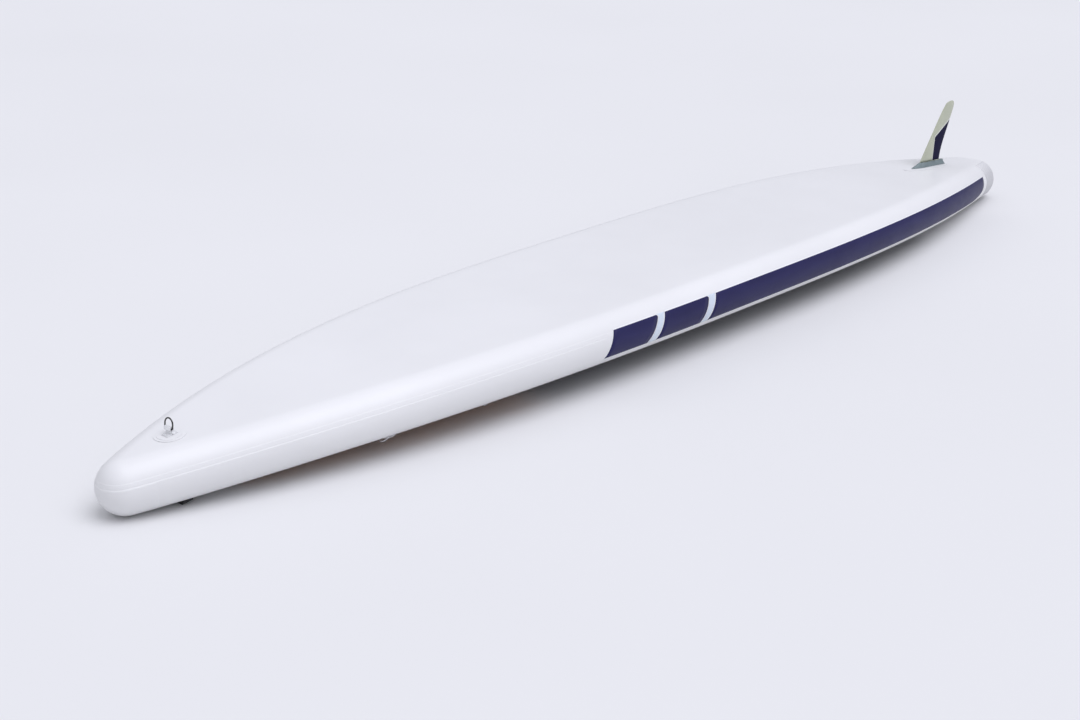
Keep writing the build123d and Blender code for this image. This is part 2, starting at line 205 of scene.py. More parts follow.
def weld(obj, distance=1e-6):
    bm = bmesh.new()
    bm.from_mesh(obj.data)
    bmesh.ops.remove_doubles(bm, verts=bm.verts, dist=distance)
    bmesh.ops.recalc_face_normals(bm, faces=bm.faces)
    bm.to_mesh(obj.data)
    bm.free()


def join(objects, name):
    """One mesh object from several that share a material."""
    bm = bmesh.new()
    for obj in objects:
        bm.from_mesh(obj.data)
    mesh = bpy.data.meshes.new(name)
    bm.to_mesh(mesh)
    bm.free()
    mesh.materials.append(objects[0].data.materials[0])
    for obj in objects:
        bpy.data.objects.remove(obj)
    whole = bpy.data.objects.new(name, mesh)
    bpy.context.collection.objects.link(whole)
    return whole


def ride(obj, body=BOARD):
    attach(obj, body)
    return obj


# ---------------------------------------------------------------- materials
class Nodes:
    """A material's node tree, with short calls for the nodes used here."""

    def __init__(self, name):
        self.material = bpy.data.materials.new(name)
        self.material.use_nodes = True
        self.tree = self.material.node_tree
        self.shader = self.tree.nodes["Principled BSDF"]
        self.place = self.add("ShaderNodeTexCoord").outputs["Object"]

    def add(self, kind, **settings):
        node = self.tree.nodes.new(kind)
        for key, value in settings.items():
            setattr(node, key, value)
        return node

    def link(self, a, b):
        self.tree.links.new(a, b)

    def math(self, operation, a, b=0.5):
        node = self.add("ShaderNodeMath", operation=operation)
        for socket, value in zip(node.inputs, (a, b)):
            if isinstance(value, (int, float)):
                socket.default_value = value
            else:
                self.link(value, socket)
        return node.outputs[0]

    def noise(self, scale, detail=4.0, stretch=(1, 1, 1)):
        mapping = self.add("ShaderNodeMapping")
        mapping.inputs["Scale"].default_value = stretch
        self.link(self.place, mapping.inputs["Vector"])
        node = self.add("ShaderNodeTexNoise")
        node.inputs["Scale"].default_value = scale
        node.inputs["Detail"].default_value = detail
        self.link(mapping.outputs[0], node.inputs["Vector"])
        return node.outputs["Fac"]

    def wave(self, scale, direction, distortion=0.0):
        node = self.add("ShaderNodeTexWave", wave_type="BANDS", bands_direction=direction,
                        wave_profile="SIN")
        node.inputs["Scale"].default_value = scale
        node.inputs["Distortion"].default_value = distortion
        self.link(self.place, node.inputs["Vector"])
        return node.outputs["Fac"]

    def ramp(self, factor, low, high, start=0.3, end=0.7):
        node = self.add("ShaderNodeValToRGB")
        node.color_ramp.elements[0].position = start
        node.color_ramp.elements[1].position = end
        node.color_ramp.elements[0].color = (*low, 1)
        node.color_ramp.elements[1].color = (*high, 1)
        self.link(factor, node.inputs[0])
        return node.outputs[0]

    def rough(self, factor, low, high):
        node = self.add("ShaderNodeMapRange")
        node.inputs["To Min"].default_value = low
        node.inputs["To Max"].default_value = high
        self.link(factor, node.inputs["Value"])
        self.link(node.outputs[0], self.shader.inputs["Roughness"])

    def colour(self, socket):
        self.link(socket, self.shader.inputs["Base Color"])

    def bump(self, height, strength, distance, under=None):
        node = self.add("ShaderNodeBump")
        node.inputs["Strength"].default_value = strength
        node.inputs["Distance"].default_value = distance
        self.link(height, node.inputs["Height"])
        if under:
            self.link(under, node.inputs["Normal"])
        return node.outputs[0]

    def normal(self, socket):
        self.link(socket, self.shader.inputs["Normal"])

    def set(self, **values):
        for key, value in values.items():
            self.shader.inputs[key.replace("_", " ")].default_value = value
        return self


def shade(colour, factor):
    return tuple(min(c * factor, 1.0) for c in colour)


def pvc(name, colour, low=0.36, high=0.46, weave=0.10, mottle=0.02, coat=0.12):
    """Calendered PVC over woven cloth: faint weave, soft sheen, slight waviness."""
    n = Nodes(name)
    cloud = n.noise(2.3, 3)
    n.colour(n.ramp(cloud, shade(colour, 1 - mottle), shade(colour, 1 + mottle)))
    n.rough(n.noise(14, 5), low, high)
    threads = n.math("MULTIPLY", n.wave(620, "X"), n.wave(620, "Y"))
    wavy = n.bump(n.noise(5.5, 2), 0.10, 0.004)
    n.normal(n.bump(threads, weave, 0.0003, wavy))
    n.set(Coat_Weight=coat, Coat_Roughness=0.28, IOR=1.5)
    return n.material


def printed_pvc(name, colour, specular=0.2):
    """Printed band: ink with fine streaks along the board and small scuffs."""
    n = Nodes(name)
    brushed = n.noise(26, 6, (0.25, 1, 1))
    n.colour(n.ramp(brushed, shade(colour, 0.90), shade(colour, 1.14)))
    n.rough(n.noise(18, 6), 0.40, 0.52)
    threads = n.math("MULTIPLY", n.wave(620, "X"), n.wave(620, "Z"))
    n.normal(n.bump(threads, 0.12, 0.0003))
    n.set(Specular_IOR_Level=specular)
    return n.material


def striped_pvc(name, colour, line):
    """Light band with fine lines that run down it, by its own UV across it."""
    n = Nodes(name)
    uv = n.add("ShaderNodeTexCoord").outputs["UV"]
    split = n.add("ShaderNodeSeparateXYZ")
    n.link(uv, split.inputs[0])
    lines = n.math("SINE", n.math("MULTIPLY", split.outputs["X"], 2 * math.pi * 6))
    lines = n.math("MULTIPLY_ADD", lines, 0.5)
    n.colour(n.ramp(lines, colour, line, 0.62, 0.9))
    n.rough(n.noise(20, 5), 0.34, 0.44)
    n.normal(n.bump(n.noise(60, 3), 0.05, 0.0005))
    n.set(Coat_Weight=0.2, Coat_Roughness=0.25)
    return n.material


def grained_pvc(name, light, dark):
    """Printed plank grain: long wavy streaks along the board."""
    n = Nodes(name)
    drift = n.noise(2.2, 4, (0.5, 4, 1))
    rings = n.math("FRACT", n.math("MULTIPLY", drift, 9.0))
    fine = n.noise(34, 6, (0.06, 3.2, 1))
    both = n.math("ADD", n.math("MULTIPLY", rings, 0.55), n.math("MULTIPLY", fine, 0.55))
    n.colour(n.ramp(both, light, dark, 0.25, 0.8))
    n.rough(fine, 0.42, 0.55)
    n.normal(n.bump(fine, 0.10, 0.0004))
    n.set(Specular_IOR_Level=0.4)
    return n.material


def dotted_pvc(name, colour):
    """Scuff patch of embossed PVC: small raised dots, with painted shade that greys it low on the rail
    and whitens it towards the top.
    """
    n = Nodes(name)
    cells = n.add("ShaderNodeTexVoronoi")
    cells.inputs["Scale"].default_value = 170
    cells.inputs["Randomness"].default_value = 0.15
    n.link(n.place, cells.inputs["Vector"])
    dots = n.ramp(cells.outputs["Distance"], (1, 1, 1), (0, 0, 0), 0.25, 0.5)
    grey = n.ramp(cells.outputs["Distance"], shade(colour, 1.05), shade(colour, 0.86), 0.3, 0.6)
    # Painted shade: the patch colour runs from grey low on the rail (z 0.110 m) to white towards the
    # top (z 0.180 m), lighter where the top catches the light
    split = n.add("ShaderNodeSeparateXYZ")
    n.link(n.place, split.inputs[0])
    high = n.add("ShaderNodeMapRange")
    n.link(split.outputs["Z"], high.inputs["Value"])
    high.inputs["From Min"].default_value = 0.110
    high.inputs["From Max"].default_value = 0.180
    painted_shade_blend = n.add("ShaderNodeMix")
    painted_shade_blend.data_type = "RGBA"
    n.link(high.outputs[0], painted_shade_blend.inputs[0])
    n.link(grey, painted_shade_blend.inputs[6])
    painted_shade_blend.inputs[7].default_value = (*WHITE, 1)
    n.colour(painted_shade_blend.outputs[2])
    n.rough(n.noise(25, 5), 0.42, 0.58)
    n.normal(n.bump(dots, 0.35, 0.0006))
    n.set(Coat_Weight=0.08, Coat_Roughness=0.4)
    return n.material


def webbing(name, colour, sheen=0.25, dark=0.72):
    """Flat woven strap: ribs across, twill along, fuzz at the edges."""
    n = Nodes(name)
    ribs = n.wave(210, "X", 0.4)
    cords = n.wave(260, "Y", 0.3)
    weave = n.math("ADD", n.math("MULTIPLY", ribs, 0.6), n.math("MULTIPLY", cords, 0.4))
    n.colour(n.ramp(weave, shade(colour, dark), shade(colour, 1.12)))
    n.rough(n.noise(90, 4), 0.72, 0.9)
    n.normal(n.bump(weave, 0.5, 0.0006))
    n.set(Sheen_Weight=sheen, Sheen_Roughness=0.5)
    return n.material


def metal(name, colour, low, high):
    n = Nodes(name)
    n.colour(n.ramp(n.noise(160, 4), shade(colour, 0.9), shade(colour, 1.05)))
    grain = n.noise(420, 5, (1, 1, 12))
    n.rough(grain, low, high)
    n.normal(n.bump(grain, 0.06, 0.0002))
    n.set(Metallic=1.0)
    return n.material


def plastic(name, colour, low, high):
    """Moulded plastic: fine spark-eroded grain, rubbed lighter patches."""
    n = Nodes(name)
    n.colour(n.ramp(n.noise(38, 5), shade(colour, 0.88), shade(colour, 1.12)))
    n.rough(n.noise(55, 5), low, high)
    n.normal(n.bump(n.noise(900, 2), 0.12, 0.0003))
    return n.material


def rubber(name, colour, low=0.62, high=0.8):
    n = Nodes(name)
    n.colour(n.ramp(n.noise(60, 5), shade(colour, 0.8), shade(colour, 1.25)))
    n.rough(n.noise(80, 4), low, high)
    n.normal(n.bump(n.noise(1300, 2), 0.2, 0.0003))
    n.set(Sheen_Weight=0.12, Sheen_Roughness=0.6)
    return n.material


def foam(name, colour):
    """EVA foam: closed cells, dry and matte."""
    n = Nodes(name)
    cells = n.add("ShaderNodeTexVoronoi", feature="F1")
    cells.inputs["Scale"].default_value = 900
    n.link(n.place, cells.inputs["Vector"])
    n.colour(n.ramp(n.noise(45, 6), shade(colour, 0.82), shade(colour, 1.2)))
    n.rough(n.noise(70, 4), 0.82, 0.95)
    n.normal(n.bump(cells.outputs["Distance"], 0.25, 0.0004))
    n.set(Sheen_Weight=0.15, Sheen_Roughness=0.7)
    return n.material


def laminate(name, colour):
    """Glass-fibre laminate: crossed weave in clear resin, streaked and glossy."""
    n = Nodes(name)
    weave = n.math("MULTIPLY", n.wave(170, "X", 0.6), n.wave(170, "Z", 0.6))
    streak = n.noise(30, 6, (1, 1, 0.35))
    both = n.math("ADD", n.math("MULTIPLY", weave, 0.35), n.math("MULTIPLY", streak, 0.65))
    n.colour(n.ramp(both, shade(colour, 0.86), shade(colour, 1.1), 0.25, 0.75))
    n.rough(n.noise(40, 5), 0.28, 0.4)
    n.normal(n.bump(weave, 0.05, 0.0002))
    n.set(Coat_Weight=0.3, Coat_Roughness=0.12)
    return n.material


def cloth(name, colour):
    n = Nodes(name)
    weave = n.math("MULTIPLY", n.wave(300, "X", 0.3), n.wave(300, "Y", 0.3))
    n.colour(n.ramp(weave, shade(colour, 0.8), shade(colour, 1.05)))
    n.rough(n.noise(80, 3), 0.75, 0.9)
    n.normal(n.bump(weave, 0.3, 0.0004))
    return n.material


WHITE = (0.81, 0.81, 0.815)
NAVY = (0.021, 0.020, 0.085)
MAT = {
    "hull": pvc("hull_pvc", WHITE),
    "rail": pvc("rail_pvc", shade(WHITE, 0.985), 0.34, 0.44),
    "deck": pvc("deck_pvc", WHITE),
    "tape": pvc("tape_pvc", shade(WHITE, 1.01), 0.3, 0.4, 0.16),
    "patch": pvc("patch_pvc", WHITE, 0.38, 0.48, 0.2),
    "outline": pvc("outline_print", (0.88, 0.885, 0.90), 0.3, 0.36, 0.05, 0.01),
    "navy": printed_pvc("navy_print", NAVY),
    "blue": striped_pvc("light_blue_print", (0.60, 0.69, 0.80), (0.82, 0.87, 0.93)),
    "dots": dotted_pvc("tail_scuff_pvc", (0.61, 0.61, 0.625)),
    "tan": grained_pvc("tan_print", (0.52, 0.25, 0.11), (0.30, 0.13, 0.055)),
    "pad": foam("navy_foam", (0.018, 0.019, 0.040)),
    "white_web": webbing("white_webbing", (0.86, 0.865, 0.875), 0.15, 0.84),
    "black_web": webbing("black_webbing", (0.022, 0.022, 0.025)),
    "black_patch": pvc("black_pvc", (0.03, 0.03, 0.034), 0.4, 0.5, 0.2, 0.1),
    "steel": metal("polished_steel", (0.58, 0.585, 0.60), 0.12, 0.24),
    "dark_steel": metal("blackened_steel", (0.085, 0.083, 0.082), 0.2, 0.32),
    "spring": metal("spring_steel", (0.5, 0.5, 0.51), 0.25, 0.4),
    "box": plastic("fin_box_plastic", (0.185, 0.232, 0.240), 0.38, 0.5),
    "foot": plastic("fin_foot_plastic", (0.22, 0.26, 0.265), 0.4, 0.55),
    "fin": laminate("fin_laminate", (0.505, 0.53, 0.405)),
    "fin_print": printed_pvc("fin_print", (0.005, 0.004, 0.034), 0.06),
    "thread": cloth("stitching_thread", (0.66, 0.67, 0.70)),
    "dark_thread": cloth("dark_thread", (0.10, 0.10, 0.11)),
    "fin_line": pvc("fin_outline_print", (0.70, 0.71, 0.66), 0.3, 0.4, 0.05),
    "valve": plastic("valve_nylon", (0.035, 0.035, 0.04), 0.4, 0.55),
    "rubber": rubber("seal_rubber", (0.03, 0.03, 0.03)),
    "grip": rubber("neoprene", (0.028, 0.028, 0.031)),
    "cloth": cloth("drop_stitch_cloth", (0.6, 0.6, 0.58)),
    "yarn": cloth("drop_stitch_yarn", (0.68, 0.68, 0.64)),
}


def paint(node, material):
    obj = NODES[node]
    if not obj.material_slots:
        obj.data.materials.append(MAT[material])
    for place in obj.material_slots:
        place.material = MAT[material]
    return obj


# ---------------------------------------------------------------- board shell
SKIN = 0.0020
BAND_LIFT, TAPE_LIFT = 0.0008, 0.00018


def shell_grid(path, angles, radius):
    return [[rail_point(s, a, radius) for a in angles] for s in path]


def board_shell(name, side, edge, material):
    """Hull (side 1) or deck (side -1): the flat face and both rails down to edge degrees."""
    verts, faces = [], []
    angles = [side * lerp(edge, 90, i / 14) for i in range(15)]
    for which in (1, -1):
        rows = shell_grid(half_path(which), angles, RAIL)
        faces += grid_faces(len(rows), len(angles), len(verts))
        verts += [p for row in rows for p in row]
    flat = []
    for x in XS:
        half, run = half_inner(x), slope(x)
        up = Vector((-run, 0, 1)).normalized() * side * RAIL
        flat.append([Vector((x, half * (2 * j / ACROSS - 1), middle(x))) + up
                     for j in range(ACROSS + 1)])
    faces += grid_faces(len(flat), ACROSS + 1, len(verts))
    verts += [p for row in flat for p in row]
    obj = mesh_object(name, verts, faces, material)
    weld(obj)
    thick = obj.modifiers.new("Thickness", "SOLIDIFY")
    thick.thickness = SKIN
    thick.offset = -1
    return ride(obj)


def around(name, path, low, high, lift, depth, material, steps=10, feather=0.0):
    """Thin strip laid on the rail along a path of stations; feather sinks its two ends."""
    angles = [lerp(low, high, i / steps) for i in range(steps + 1)]
    outer = shell_grid(path, angles, RAIL + lift)
    outer[0], outer[-1] = shell_grid([path[0], path[-1]], angles, RAIL + lift - feather)
    obj = slab(name, outer, shell_grid(path, angles, RAIL - depth), material)
    weld(obj, 1e-7)
    return ride(obj)


def whole_path():
    """Stations all the way round, from the tail along the left, the nose and the right."""
    left, right = half_path(1), half_path(-1)
    return left + right[-2:0:-1]


def closed_strip(name, low, high, lift, depth, material, steps=8):
    path = whole_path()
    angles = [lerp(low, high, i / steps) for i in range(steps + 1)]
    rows_out = shell_grid(path + path[:1], angles, RAIL + lift)
    rows_in = shell_grid(path + path[:1], angles, RAIL - depth)
    obj = slab(name, rows_out, rows_in, material)
    bm = bmesh.new()
    bm.from_mesh(obj.data)
    ends = [f for f in bm.faces if f.calc_area() > 0 and is_end_cap(f, path[0])]
    bmesh.ops.delete(bm, geom=ends, context="FACES_ONLY")
    bm.to_mesh(obj.data)
    bm.free()
    weld(obj)
    return ride(obj)


def is_end_cap(face, station):
    """True for the faces that close a strip where its two ends meet at the tail's middle."""
    return all(abs(v.co.y - station[1]) < 1e-5 for v in face.verts) and \
        all(v.co.x < TAIL_C for v in face.verts)


hull = board_shell("hull_skin_visual", 1, SEAM - 1, MAT["hull"])
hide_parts("hull_skin")
deck = board_shell("deck_skin_visual", -1, DECK_SEAM - 1, MAT["deck"])
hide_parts("deck_skin")
for which, label in ((1, "left"), (-1, "right")):
    band = around(f"rail_band_{label}_visual", half_path(which), -DECK_SEAM, SEAM, BAND_LIFT, SKIN,
                  MAT["rail"], 26)
    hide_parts(f"rail_band_{label}")
for label, low, high in (("hull", SEAM - 0.5, PRINT_TOP - 1.7),
                         ("deck", -DECK_SEAM + 0.5, -DECK_SEAM - 9)):
    tape = closed_strip(f"seam_tape_{label}", low, high, TAPE_LIFT, 0.0005, MAT["tape"])


# Scuff patch round the tail and overlap of the rail bands at the nose
def tail_path(front):
    left = [s for s in half_path(1) if s[0] < front]
    right = [s for s in half_path(-1) if s[0] < front]
    return right[:0:-1] + left


def nose_path(rear):
    left = [s for s in half_path(1) if s[0] > rear]
    right = [s for s in half_path(-1) if s[0] > rear]
    return left[:-1] + right[::-1]


tail_patch = around("tail_cap_visual", tail_path(TAIL_PATCH_X), -57, 72, 0.0011, 0.0005,
                    MAT["dots"], 28)
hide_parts("tail_cap")
nose_patch = around("nose_cap_visual", nose_path(NOSE_OVERLAP_X), -57, SEAM - 0.6, BAND_LIFT + 0.0001,
                    0.0005, MAT["rail"], 20, 0.0006)
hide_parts("nose_cap")


# ---------------------------------------------------------------- rail print
def print_patch(name, side, rear, front, low, high, lift, material, columns=None):
    """Closed thin patch between two edges given as x at an angle, seen as (x, angle)."""
    rows = 26
    angles = [lerp(low, high, i / rows) for i in range(rows + 1)]
    longest = max(front(a) - rear(a) for a in angles)
    columns = columns or max(4, int(longest / 0.02))
    top, bottom, uvs = [], [], []
    for a in angles:
        x0, x1 = rear(a), front(a)
        stations = [side_station(lerp(x0, x1, j / columns), side) for j in range(columns + 1)]
        top.append([rail_point(s, a, RAIL + lift) for s in stations])
        bottom.append([rail_point(s, a, RAIL - 0.0004) for s in stations])
        uvs.append([(j / columns, (a - low) / (high - low)) for j in range(columns + 1)])
    obj = slab(name, top, bottom, material, uvs)
    weld(obj, 1e-7)
    return ride(obj)


def share(angle):
    """0 at the print's lower edge, 1 at its upper edge."""
    return (angle - PRINT_LOW) / (PRINT_TOP - PRINT_LOW)


def slanted(at_top, at_low):
    return lambda a: lerp(at_low, at_top, share(a))


def rounded_rear(at_top, at_low, corner=0.010):
    """Slanted rear edge whose upper corner is rounded."""
    def edge(a):
        up = max(0.0, corner - (PRINT_TOP - a) * math.radians(1) * RAIL)
        back = corner - math.sqrt(max(corner**2 - up**2, 0.0))
        return lerp(at_low, at_top, share(a)) + back
    return edge


def tail_edge(a):
    """Tail end of the long panel: its lower corner swept forwards in one large round."""
    t = 1 - min(max(share(a), 0.0), 1.0)
    return LONG_REAR + 0.014 * t + 0.105 * t**5


def grown(edge, by):
    return lambda a: edge(min(max(a, PRINT_LOW), PRINT_TOP)) + by


for side, label in ((1, "left"), (-1, "right")):
    edges = [(name, rounded_rear(rt, rl), slanted(ft, fl)) for name, ft, fl, rt, rl in PANELS]
    edges.append(("long", tail_edge, slanted(*LONG_FRONT)))
    spare = math.degrees(OUTLINE / RAIL)
    for name, rear, front in edges:
        border = print_patch(f"outline_{name}_{label}", side, grown(rear, -OUTLINE),
                             grown(front, OUTLINE), PRINT_LOW - spare, PRINT_TOP + spare,
                             BAND_LIFT + 0.0003, MAT["outline"])
        panel = print_patch(f"panel_{name}_{label}", side, rear, front, PRINT_LOW, PRINT_TOP,
                            BAND_LIFT + 0.0005, MAT["navy"])
    for i in range(2):
        band = print_patch(f"light_band_{i + 1}_{label}", side, edges[i + 1][2], edges[i][1],
                           PRINT_LOW - 1, PRINT_TOP + 1, BAND_LIFT + 0.0001, MAT["blue"], 14)


# ---------------------------------------------------------------- inner cloths
def inner_sheet(label, side):
    """Drop-stitch cloth under the flat of the hull or the deck."""
    layers = []
    for depth in (0.0026, 0.0046):
        rows = []
        for x in XS[1:-1]:
            up = Vector((-slope(x), 0, 1)).normalized() * side * (RAIL - depth)
            half = max(half_inner(x) - 0.003, 0.002)
            rows.append([Vector((x, half * (2 * j / ACROSS - 1), middle(x))) + up
                         for j in range(ACROSS + 1)])
        layers.append(rows)
    obj = slab(f"drop_stitch_cloth_{label}_visual", *layers, MAT["cloth"])
    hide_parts(f"drop_stitch_cloth_{label}")
    ride(obj)


def inner_wall(label, side):
    wall = around(f"inner_side_wall_{label}_visual", half_path(side), -84, 84, -0.0026, 0.0046,
                  MAT["cloth"], 20)
    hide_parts(f"inner_side_wall_{label}")


for label, side in (("hull", 1), ("deck", -1)):
    inner_sheet(label, side)
for label, side in (("left", 1), ("right", -1)):
    inner_wall(label, side)


# ---------------------------------------------------------------- deck print and foam pads
def deck_sheet(name, xs, edges, high, low, material):
    """Closed sheet on the flat of the deck, from low to high off it."""
    top, bottom = [], []
    for x, (y0, y1, ts) in zip(xs, edges):
        out = Vector((-slope(x), 0, 1)).normalized() * -1
        base = Vector((x, 0, middle(x)))
        top.append([base + Vector((0, lerp(y0, y1, t), 0)) + out * (RAIL + high) for t in ts])
        bottom.append([base + Vector((0, lerp(y0, y1, t), 0)) + out * (RAIL + low) for t in ts])
    obj = slab(name, top, bottom, material)
    weld(obj, 1e-7)
    return obj


def spread(start, end, count):
    return [lerp(start, end, i / count) for i in range(count + 1)]


def eased(start, end, count, near=0.05, steps=6):
    """Places from start to end, with extra ones in the last stretch at both ends."""
    ends = [near * (1 - math.cos(math.pi / 2 * i / steps)) for i in range(steps)]
    middle_places = spread(start + near, end - near, count)
    return [start + e for e in ends] + middle_places + [end - e for e in reversed(ends)]


def corner_inset(x, start, end, radius):
    """How far a rounded corner pulls the side in, this near to an end."""
    near = min(x - start, end - x)
    if near >= radius:
        return 0.0
    return radius - math.sqrt(max(radius**2 - (radius - near)**2, 0.0))


def front_print():
    """Plank-grain print on the front deck, from the pad nearly to the nose handle."""
    start, end = 0.800, 1.780
    xs = eased(start, end, 24)
    edges = []
    for x in xs:
        half = half_inner(x) - 0.012 - corner_inset(x, start, end, 0.05)
        edges.append((-half, half, spread(0, 1, 24)))
    obj = deck_sheet("front_deck_print", xs, edges, 0.0005, -0.0003, MAT["tan"])
    ride(obj)


PAD_THICK, PAD_LOW = 0.0053, 0.0002
GROOVE_PITCH, GROOVE_DEPTH = 0.0135, 0.0017
PAD_MARGIN = 0.007


def groove_places(width):
    """Places across a pad panel, with four for each groove, and how deep each lies."""
    count = max(int(width / GROOVE_PITCH), 2)
    step = 1 / count
    ts, deep = [0.0, 0.25 * step], [1.0, 0.0]
    for k in range(1, count):
        for away, depth in ((-0.16, 0), (-0.07, 1), (0.07, 1), (0.16, 0)):
            ts.append((k + away) * step)
            deep.append(float(depth))
    return ts + [1 - 0.25 * step, 1.0], deep + [0.0, 1.0]


def pad_panel(start, end, sides, radius):
    """Rows of one ribbed foam panel as a slab's two layers; sides(x) gives its two edges."""
    widest = max(abs(b - a) for a, b in (sides(x) for x in spread(start, end, 8)))
    ts, deep = groove_places(widest)
    top, bottom = [], []
    xs = eased(start, end, max(int((end - start) / 0.045), 4), 0.04)
    for x in xs:
        y0, y1 = sides(x)
        inset = corner_inset(x, start, end, radius)
        y0, y1 = y0 + inset, y1 - inset
        out = Vector((slope(x), 0, -1)).normalized()
        rim = min(1.0, min(x - start, end - x) / 0.003)
        base = Vector((x, 0, middle(x)))
        heights = [PAD_THICK - GROOVE_DEPTH * max(d, 1 - rim) for d in deep]
        top.append([base + Vector((0, lerp(y0, y1, t), 0)) + out * (RAIL + h)
                    for t, h in zip(ts, heights)])
        bottom.append([base + Vector((0, lerp(y0, y1, t), 0)) + out * (RAIL + PAD_LOW) for t in ts])
    return top, bottom


def standing_pad():
    """Ribbed foam in four panels round the carry handle, with narrow joints between them."""
    def whole(x):
        half = half_inner(x) - PAD_MARGIN
        return -half, half

    panels = [(-1.428, -0.1985, whole, 0.035), (0.1985, 0.778, whole, 0.035),
              (-0.1945, 0.1945, lambda x: (0.0515, half_inner(x) - PAD_MARGIN), 0.006),
              (-0.1945, 0.1945, lambda x: (PAD_MARGIN - half_inner(x), -0.0515), 0.006)]
    made = []
    for i, (start, end, sides, radius) in enumerate(panels):
        obj = slab(f"pad_panel_{i}", *pad_panel(start, end, sides, radius), MAT["pad"])
        weld(obj, 1e-7)
        made.append(obj)
    pad = join(made, "standing_pad_visual")
    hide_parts("standing_pad")
    ride(pad)


front_print()
standing_pad()


# ---------------------------------------------------------------- webbing, stitching and rings
def on_seat(place, x, y, z):
    """Point in a seat's own axes: x ahead, y across, z out of the board."""
    origin, ahead, across, out = place
    return origin + ahead * x + across * y + out * z


def turned(place):
    """The same seat with its x across the board."""
    origin, ahead, across, out = place
    return origin, across, -ahead, out


def rounded(points, radius, steps=5):
    """A line of (x, z) points with each inner corner made an arc-like curve."""
    line = [points[0]]
    for before, here, after in zip(points, points[1:], points[2:]):
        a, b, c = (Vector(p) for p in (before, here, after))
        reach = min(radius, (a - b).length * 0.45, (c - b).length * 0.45)
        start, end = b + (a - b).normalized() * reach, b + (c - b).normalized() * reach
        for i in range(steps + 1):
            t = i / steps
            line.append(tuple(start * (1 - t) ** 2 + b * 2 * t * (1 - t) + end * t**2))
    return line + [points[-1]]


def band_normals(line):
    """Direction square to a line of (x, z) points at each of them."""
    normals = []
    for i in range(len(line)):
        a, b = Vector(line[max(i - 1, 0)]), Vector(line[min(i + 1, len(line) - 1)])
        run = (b - a).normalized()
        normals.append(Vector((-run.y, run.x)))
    return normals


def ribbon(name, place, line, thick, wide, material):
    """Webbing along a line of (x, z) points, its selvedges thinner than its middle."""
    across = (-0.5, -0.47, -0.40, 0.0, 0.40, 0.47, 0.5)
    slim = (0.35, 0.85, 1.0, 1.0, 1.0, 0.85, 0.35)
    top, bottom = [], []
    half = [thick / 2 * s for s in slim]
    for (x, z), n in zip(line, band_normals(line)):
        for rows, way in ((top, 1), (bottom, -1)):
            rows.append([on_seat(place, x + way * n.x * h, wide * a, z + way * n.y * h)
                         for a, h in zip(across, half)])
    obj = slab(name, top, bottom, material)
    weld(obj, 1e-7)
    return obj


def stitch_line(start, end, pitch=0.0032):
    """Centre and half length of each stitch along a straight line."""
    a, b = Vector(start), Vector(end)
    count = max(int((b - a).length / pitch), 1)
    step = (b - a) / count
    return [(a + step * (i + 0.5), step * 0.36) for i in range(count)]


def boxed_cross(x0, x1, y0, y1):
    """The square and cross that sew down the end of a strap."""
    corners = [(x0, y0), (x1, y0), (x1, y1), (x0, y1)]
    runs = list(zip(corners, corners[1:] + corners[:1]))
    runs += [(corners[0], corners[2]), (corners[1], corners[3])]
    return [s for a, b in runs for s in stitch_line(a, b)]


def stitches(name, place, stitched, height, material, body=BOARD):
    """Raised threads on a strap: stitched lists their centres and half lengths in x and y."""
    verts, faces = [], []
    for centre, half in stitched:
        side = Vector((-half.y, half.x)).normalized() * 0.00042
        start = len(verts)
        for along, away, up in ((-1, 0, 0), (-0.55, 1, 0), (-0.55, 0, 1), (-0.55, -1, 0), (0.55, 1, 0),
                                (0.55, 0, 1), (0.55, -1, 0), (1, 0, 0)):
            p = centre + half * along + side * away
            verts.append(on_seat(place, p.x, p.y, height + 0.00045 * up))
        for f in ((0, 1, 2), (0, 2, 3), (1, 4, 5, 2), (2, 5, 6, 3), (4, 7, 5), (5, 7, 6), (0, 3, 1),
                  (1, 3, 6, 4), (4, 6, 7)):
            faces.append(tuple(start + k for k in f))
    obj = mesh_object(name, verts, faces, material)
    return ride(obj, body)


def arc_line(cx, cz, radius, start, end, steps):
    """Points from start to end degrees round (cx, cz), counted from +x towards +z."""
    angles = [math.radians(lerp(start, end, i / steps)) for i in range(steps + 1)]
    return [(cx + radius * math.cos(a), cz + radius * math.sin(a)) for a in angles]


TAB_LOW, WEB = 0.0030, 0.0015


def ring_tab(name, place, wire, wide, reach, axis, roll, material):
    """Webbing folded over a ring's bar and down a neck, its ends spread on the patch."""
    bore = wire / 2 + 0.0003
    outer = roll - WEB / 2
    foot = TAB_LOW + WEB / 2
    tall = axis - roll > TAB_LOW + 0.002
    neck = WEB * 0.55 if tall else outer * 0.72
    over = arc_line(0, axis, outer, 240 if tall else 215, -60 if tall else -35, 30)
    left = [(-reach, foot), (-neck - 0.002, foot), (-neck, foot + 0.002)]
    if tall:
        left.append((-neck, axis - roll * 0.95))
    right = [(-x, z) for x, z in reversed(left)]
    line = rounded(left + over[:1], 0.0015)[:-1] + over + rounded(over[-1:] + right, 0.0015)[1:]
    parts = [ribbon(f"{name}_over", place, line, WEB, wide, material)]
    inside = outer - WEB * 1.04
    if inside - WEB / 2 > bore:
        turns = (inside - WEB / 2 - bore) / (WEB * 1.04)
        steps = int(30 * turns) + 20
        coil = []
        for i in range(steps + 1):
            t = i / steps
            r = lerp(inside, bore + WEB / 2, t)
            a = math.radians(250 - 360 * (turns + 0.7) * t)
            coil.append((r * math.cos(a), axis + r * math.sin(a)))
        parts.append(ribbon(f"{name}_coil", place, coil, WEB * 0.96, wide * 0.985, material))
    return join(parts, name)


def tab_threads(reach, wide):
    """Stitches in two rows across each foot of a ring tab."""
    rows = []
    for side in (-1, 1):
        for share_out in (0.62, 0.88):
            x = side * reach * share_out
            rows += stitch_line((x, -wide * 0.42), (x, wide * 0.42))
    return rows


